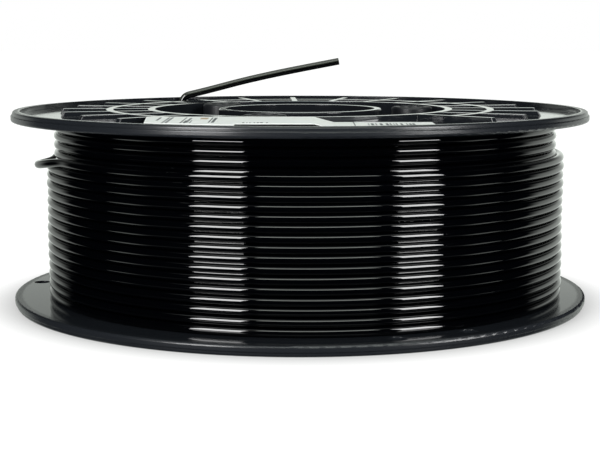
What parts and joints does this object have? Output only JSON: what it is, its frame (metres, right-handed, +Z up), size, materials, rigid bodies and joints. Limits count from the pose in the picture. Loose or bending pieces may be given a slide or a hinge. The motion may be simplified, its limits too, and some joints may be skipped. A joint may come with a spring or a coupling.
{
  "type": "filament spool",
  "caption": "Flat-lying ribbed plastic spool wound with glossy black 3D-printing filament, its stiff free end standing up through the upper flange.",
  "frame": {"origin": "centre of the lower flange's underside, on the spool's axis", "axes": "+Z up along the spool's axis, +X to the right and +Y away from the front"},
  "size_m": [0.2, 0.2, 0.083],
  "materials": {
    "spool_plastic": "satin moulded black plastic",
    "hub_plastic": "satin moulded black plastic",
    "filament": "very glossy black extruded strand",
    "label_paper": "coated white paper sticker"
  },
  "bodies": {
    "root": {"lower_flange": "spool_plastic", "upper_flange": "spool_plastic", "winding_barrel": "spool_plastic", "bore_sleeve": "hub_plastic", "joining_post_1": "hub_plastic", "joining_post_2": "hub_plastic", "joining_post_3": "hub_plastic", "filament_core_pack": "filament", "filament_under_layer": "filament", "filament_outer_layer": "filament", "filament_last_turn": "filament", "filament_tail": "filament", "product_label": "label_paper", "spec_label": "label_paper"}
  },
  "joints": []
}
